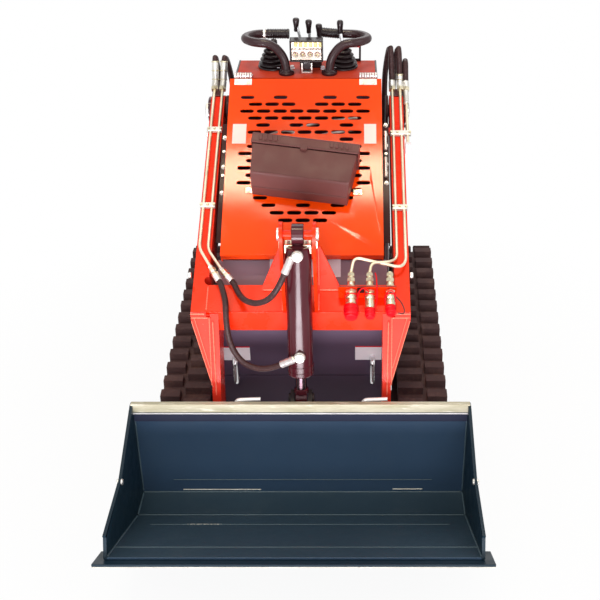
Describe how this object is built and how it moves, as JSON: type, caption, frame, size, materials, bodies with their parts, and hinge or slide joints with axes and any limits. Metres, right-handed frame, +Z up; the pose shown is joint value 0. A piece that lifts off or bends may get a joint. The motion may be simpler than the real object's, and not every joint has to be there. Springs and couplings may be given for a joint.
{
  "type": "mini track loader",
  "caption": "Stand-on mini loader on rubber tracks: twin lift arms with a wide bucket, slotted engine hood with a toolbox, handlebar console and rear deck.",
  "frame": {"origin": "on the ground plane, under the middle of the bounding box", "axes": "+Z up; the bucket is towards -Y and the operator's deck towards +Y; X runs across the machine"},
  "size_m": [1.06, 2.0005, 1.2785],
  "materials": {
    "orange_paint": "semi-gloss orange-red powder coat",
    "bucket_paint": "dark slate blue paint, scuffed",
    "dark_paint": "dark grey-plum panel paint",
    "black_paint": "gloss black paint",
    "grey_panel": "light grey paint",
    "track_rubber": "matt track rubber",
    "hose_rubber": "satin hose rubber",
    "bare_steel": "worn bare steel",
    "zinc_plate": "zinc plated steel",
    "chrome_rod": "hard chrome",
    "box_plastic": "glossy dark grey-brown plastic",
    "cap_plastic": "red cap plastic",
    "lamp_glass": "clear lens over chrome reflectors"
  },
  "bodies": {
    "chassis": {"chassis_frame": "dark_paint", "front_panel": "dark_paint", "nose_panel": "grey_panel", "engine_block": "black_paint", "rear_housing": "dark_paint", "console": "orange_paint", "pivot_tower_l": "dark_paint", "pivot_tower_r": "dark_paint", "operator_deck": "dark_paint", "handlebar_l": "black_paint", "handlebar_r": "black_paint", "drive_lever_l": "hose_rubber", "drive_lever_r": "hose_rubber", "lamp_bracket": "zinc_plate", "work_lamp": "black_paint", "lamp_face": "lamp_glass", "aux_levers": "black_paint", "lever_guard": "black_paint", "undercarriage_l": "black_paint", "undercarriage_r": "black_paint", "track_l": "track_rubber", "track_r": "track_rubber"},
    "arms": {"lift_arm_l": "orange_paint", "lift_arm_r": "orange_paint", "cross_member": "orange_paint", "oil_lines_l": "zinc_plate", "oil_lines_r": "zinc_plate", "coupler_bracket": "zinc_plate", "coupler_1": "zinc_plate", "coupler_2": "zinc_plate", "coupler_3": "zinc_plate", "dust_cap_1": "cap_plastic", "dust_cap_2": "cap_plastic", "dust_cap_3": "cap_plastic", "arm_hose_l1": "hose_rubber", "arm_hose_l2": "hose_rubber", "arm_hose_r1": "hose_rubber", "arm_hose_r2": "hose_rubber", "arm_hose_r3": "hose_rubber", "tilt_hose_upper": "hose_rubber", "tilt_hose_lower": "hose_rubber"},
    "bucket": {"bucket": "bucket_paint", "cutting_edge": "bare_steel", "hitch_plate": "black_paint"},
    "tilt_barrel": {"tilt_barrel": "black_paint"},
    "tilt_rod": {"tilt_rod": "chrome_rod"},
    "lift_barrel_l": {"lift_barrel_l": "black_paint"},
    "lift_barrel_r": {"lift_barrel_r": "black_paint"},
    "lift_rod_l": {"lift_rod_l": "chrome_rod"},
    "lift_rod_r": {"lift_rod_r": "chrome_rod"},
    "hood": {"hood": "orange_paint", "toolbox": "box_plastic"},
    "toolbox_lid": {"toolbox_lid": "box_plastic"}
  },
  "joints": [
    {"name": "arm_lift", "type": "hinge", "parent": "chassis", "child": "arms", "pos_m": [0, 0.405, 0.975], "axis": [-1, 0, 0], "range_deg": [0, 82], "deforming": ["arm_hose_l1", "arm_hose_l2", "arm_hose_r1", "arm_hose_r2", "arm_hose_r3"]},
    {"name": "bucket_tilt", "type": "hinge", "parent": "arms", "child": "bucket", "pos_m": [0, -0.435, 0.185], "axis": [1, 0, 0], "range_deg": [0, 70]},
    {"name": "tilt_barrel_pivot", "type": "hinge", "parent": "arms", "child": "tilt_barrel", "pos_m": [0, -0.365, 0.915], "axis": [-1, 0, 0], "range_deg": [0, 13], "deforming": ["tilt_hose_upper", "tilt_hose_lower"]},
    {"name": "tilt_rod_slide", "type": "slide", "parent": "tilt_barrel", "child": "tilt_rod", "axis": [0, -0.165, -0.9863], "range_m": [0, 0.201]},
    {"name": "lift_barrel_pivot_l", "type": "hinge", "parent": "chassis", "child": "lift_barrel_l", "pos_m": [-0.254, -0.17, 0.36], "axis": [1, 0, 0], "range_deg": [0, 1.5]},
    {"name": "lift_barrel_pivot_r", "type": "hinge", "parent": "chassis", "child": "lift_barrel_r", "pos_m": [0.254, -0.17, 0.36], "axis": [1, 0, 0], "range_deg": [0, 1.5]},
    {"name": "lift_rod_slide_l", "type": "slide", "parent": "lift_barrel_l", "child": "lift_rod_l", "axis": [0, 0.6064, 0.7951], "range_m": [0, 0.167]},
    {"name": "lift_rod_slide_r", "type": "slide", "parent": "lift_barrel_r", "child": "lift_rod_r", "axis": [0, 0.6064, 0.7951], "range_m": [0, 0.167]},
    {"name": "hood_open", "type": "hinge", "parent": "chassis", "child": "hood", "pos_m": [0, 0.332, 1.127], "axis": [-1, 0, 0], "range_deg": [0, 60]},
    {"name": "box_lid", "type": "hinge", "parent": "hood", "child": "toolbox_lid", "pos_m": [0.01183, 0.08653, 0.96013], "axis": [-0.9907, 0.1113, 0.0776], "range_deg": [0, 85]}
  ],
  "couplings": [
    {"joint": "tilt_barrel_pivot", "follows": "bucket_tilt", "ratio": 0.17941},
    {"joint": "tilt_rod_slide", "follows": "bucket_tilt", "m_per_rad": 0.16383},
    {"joint": "lift_barrel_pivot_l", "follows": "arm_lift", "ratio": 0.017119},
    {"joint": "lift_barrel_pivot_r", "follows": "arm_lift", "ratio": 0.017119},
    {"joint": "lift_rod_slide_l", "follows": "arm_lift", "m_per_rad": 0.11602},
    {"joint": "lift_rod_slide_r", "follows": "arm_lift", "m_per_rad": 0.11602}
  ]
}
